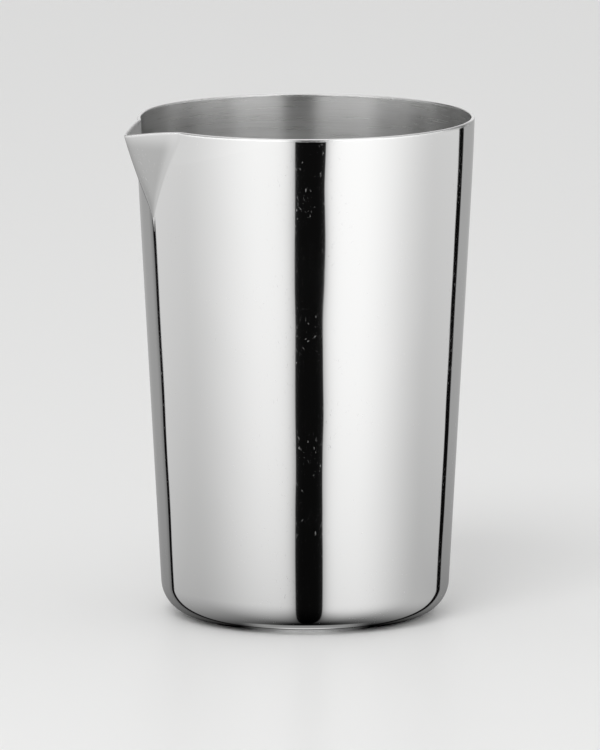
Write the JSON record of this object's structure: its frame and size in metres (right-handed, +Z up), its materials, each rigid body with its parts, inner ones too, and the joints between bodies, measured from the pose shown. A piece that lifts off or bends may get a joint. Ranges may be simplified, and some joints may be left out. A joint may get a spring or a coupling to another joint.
{
  "type": "cocktail stirring tin",
  "caption": "Open tapered steel stirring tin with double wall, polished outside, satin inside, round lip and a folded V-shaped pour spout.",
  "frame": {"origin": "on the tin's axis, in the plane that it stands on, at the centre of the base plate's underside", "axes": "+Z up along the tin's axis, the pour spout points along -X"},
  "size_m": [0.0965, 0.0894, 0.1325],
  "materials": {
    "mirror_steel": "polished",
    "satin_steel": "satin",
    "polished_lip": "polished",
    "turned_steel": "satin",
    "ground_weld": "satin"
  },
  "bodies": {
    "root": {"outer_shell": "mirror_steel", "inner_liner": "satin_steel", "rim_weld": "polished_lip", "base_plate": "turned_steel", "base_weld": "ground_weld"}
  },
  "joints": []
}
